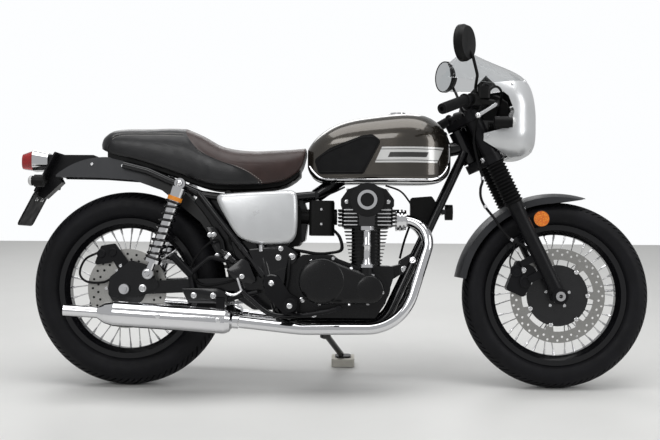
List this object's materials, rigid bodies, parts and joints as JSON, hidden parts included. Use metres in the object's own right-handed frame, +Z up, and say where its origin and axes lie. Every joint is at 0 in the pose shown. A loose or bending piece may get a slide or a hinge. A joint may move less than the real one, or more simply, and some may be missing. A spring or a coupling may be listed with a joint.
{
  "type": "cafe racer motorcycle",
  "caption": "Retro cafe racer motorcycle with air-cooled finned engine, small bubble cowl, low bars, wire wheels and twin exhausts, leaning on its side stand.",
  "frame": {"origin": "floor point midway between the two axles, on the line the tyres roll along", "axes": "+X forward along the wheel line, +Y to the rider's left, +Z up from the floor; the machine leans to +Y"},
  "size_m": [2.1615, 0.8665, 1.2303],
  "materials": {
    "tyre_rubber": "matte",
    "black_metal": "satin",
    "engine_black": "satin",
    "silver_metal": "satin",
    "bronze_paint": "gloss",
    "grey_plastic": "matte",
    "black_plastic": "satin",
    "chrome": "polished",
    "bright_alloy": "satin",
    "steel": "brushed",
    "black_rubber": "matte",
    "seat_leather": "satin",
    "red_lens": "gloss",
    "amber_lens": "gloss",
    "lamp_glass": "clear",
    "screen_clear": "clear",
    "pad_pale": "matte"
  },
  "bodies": {
    "chassis": {"bevel_drive": "chrome", "chain": "steel", "crankcase": "engine_black", "cylinder_barrel": "engine_black", "cylinder_head": "engine_black", "engine_covers": "engine_black", "exhaust_headers": "chrome", "foot_controls": "black_metal", "frame": "black_metal", "front_electrics": "black_plastic", "fuel_cap": "chrome", "fuel_tank": "bronze_paint", "intake": "black_plastic", "knee_pads": "black_rubber", "mufflers": "chrome", "pillion_footrests": "black_metal", "rear_axle": "steel", "rear_caliper": "black_metal", "rear_fender": "grey_plastic", "rear_indicators": "black_plastic", "seat": "seat_leather", "shock_dampers": "chrome", "shock_springs": "black_metal", "side_covers": "silver_metal", "swingarm": "black_metal", "tail_bracket": "black_plastic", "tail_lamp": "chrome", "tail_lens": "red_lens", "valve_cover": "engine_black"},
    "steering": {"cowl": "silver_metal", "fork_gaiters": "black_rubber", "fork_sliders": "black_metal", "fork_uppers": "steel", "front_axle": "steel", "front_caliper": "black_metal", "front_fender": "grey_plastic", "front_indicators": "black_plastic", "grips": "black_rubber", "hand_controls": "black_plastic", "hand_levers": "bright_alloy", "handlebar": "black_metal", "headlamp": "black_metal", "headlamp_lens": "lamp_glass", "instruments": "black_plastic", "lower_yoke": "black_metal", "mirrors": "black_plastic", "reflectors": "amber_lens", "top_bridge": "black_metal", "windscreen": "screen_clear"},
    "front_wheel": {"front_disc": "steel", "front_hub": "steel", "front_rim": "black_metal", "front_tyre": "tyre_rubber"},
    "rear_wheel": {"rear_disc": "steel", "rear_hub": "steel", "rear_rim": "black_metal", "rear_tyre": "tyre_rubber"},
    "side_stand": {"side_stand": "black_metal", "stand_pad": "pad_pale"}
  },
  "joints": [
    {"name": "steering_turn", "type": "hinge", "parent": "chassis", "child": "steering", "pos_m": [0.41992, 0.12609, 0.82483], "axis": [-0.4384, 0.136, 0.8885], "range_deg": [-35, 35]},
    {"name": "front_wheel_spin", "type": "hinge", "parent": "steering", "child": "front_wheel", "pos_m": [0.7325, 0.04818, 0.31565], "axis": [0, 0.9885, -0.1513], "continuous": true},
    {"name": "rear_wheel_spin", "type": "hinge", "parent": "chassis", "child": "rear_wheel", "pos_m": [-0.7325, 0.05029, 0.32949], "axis": [0, 0.9885, -0.1513], "continuous": true},
    {"name": "stand_swing", "type": "hinge", "parent": "chassis", "child": "side_stand", "pos_m": [-0.0605, 0.14266, 0.15299], "axis": [-0.1451, 0.6497, 0.7462], "range_deg": [0, 99]}
  ]
}
